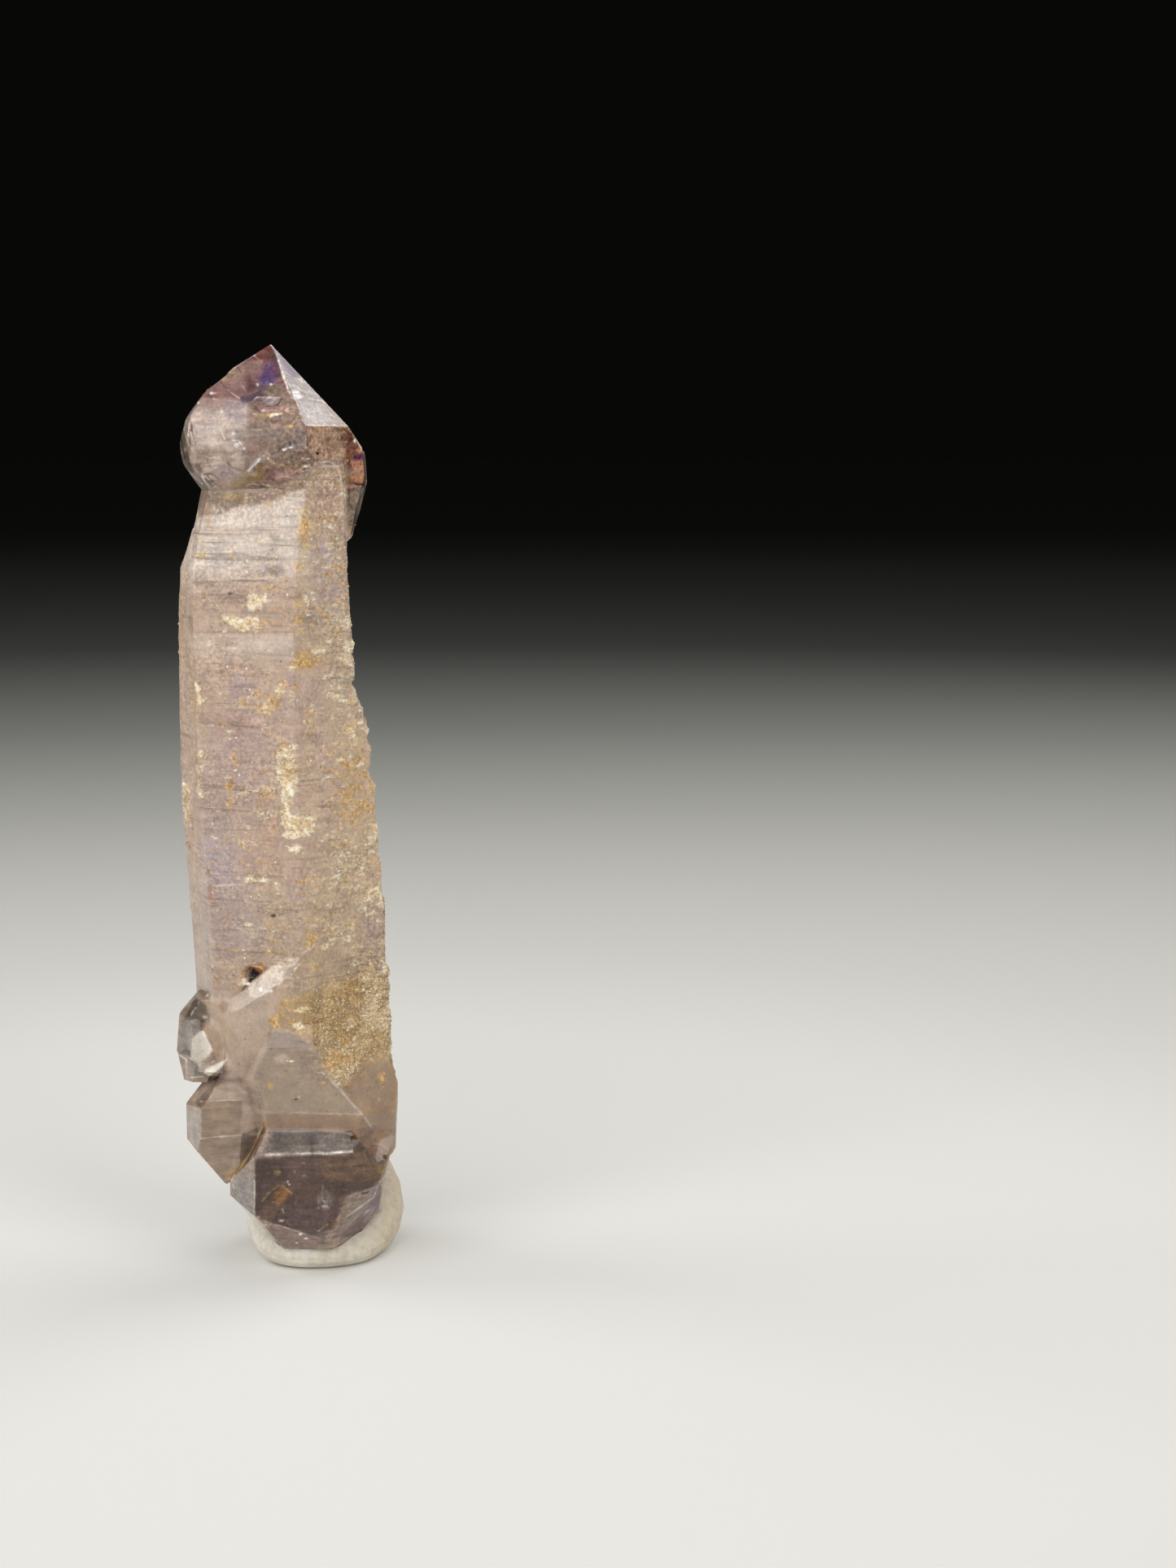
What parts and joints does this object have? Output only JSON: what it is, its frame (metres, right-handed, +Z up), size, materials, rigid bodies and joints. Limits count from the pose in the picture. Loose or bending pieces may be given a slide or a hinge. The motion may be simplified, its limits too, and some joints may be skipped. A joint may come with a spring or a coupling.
{
  "type": "amethyst crystal",
  "caption": "Tall six-sided quartz stem with a wider clear violet point on top and small crystals at its foot, standing in a lump of off-white putty.",
  "frame": {"origin": "on the surface it stands on, under the middle of the putty, at the putty's flat underside", "axes": "+Z up along the crystal to its point, -Y the front that shows the leaf-shaped ledge and the dark crystal at the foot, +X to the right of that front"},
  "size_m": [0.0292, 0.0248, 0.1186],
  "materials": {
    "amethyst": "gloss",
    "putty": "matte"
  },
  "bodies": {
    "root": {"amethyst_crystal": "amethyst", "mounting_putty": "putty"}
  },
  "joints": []
}
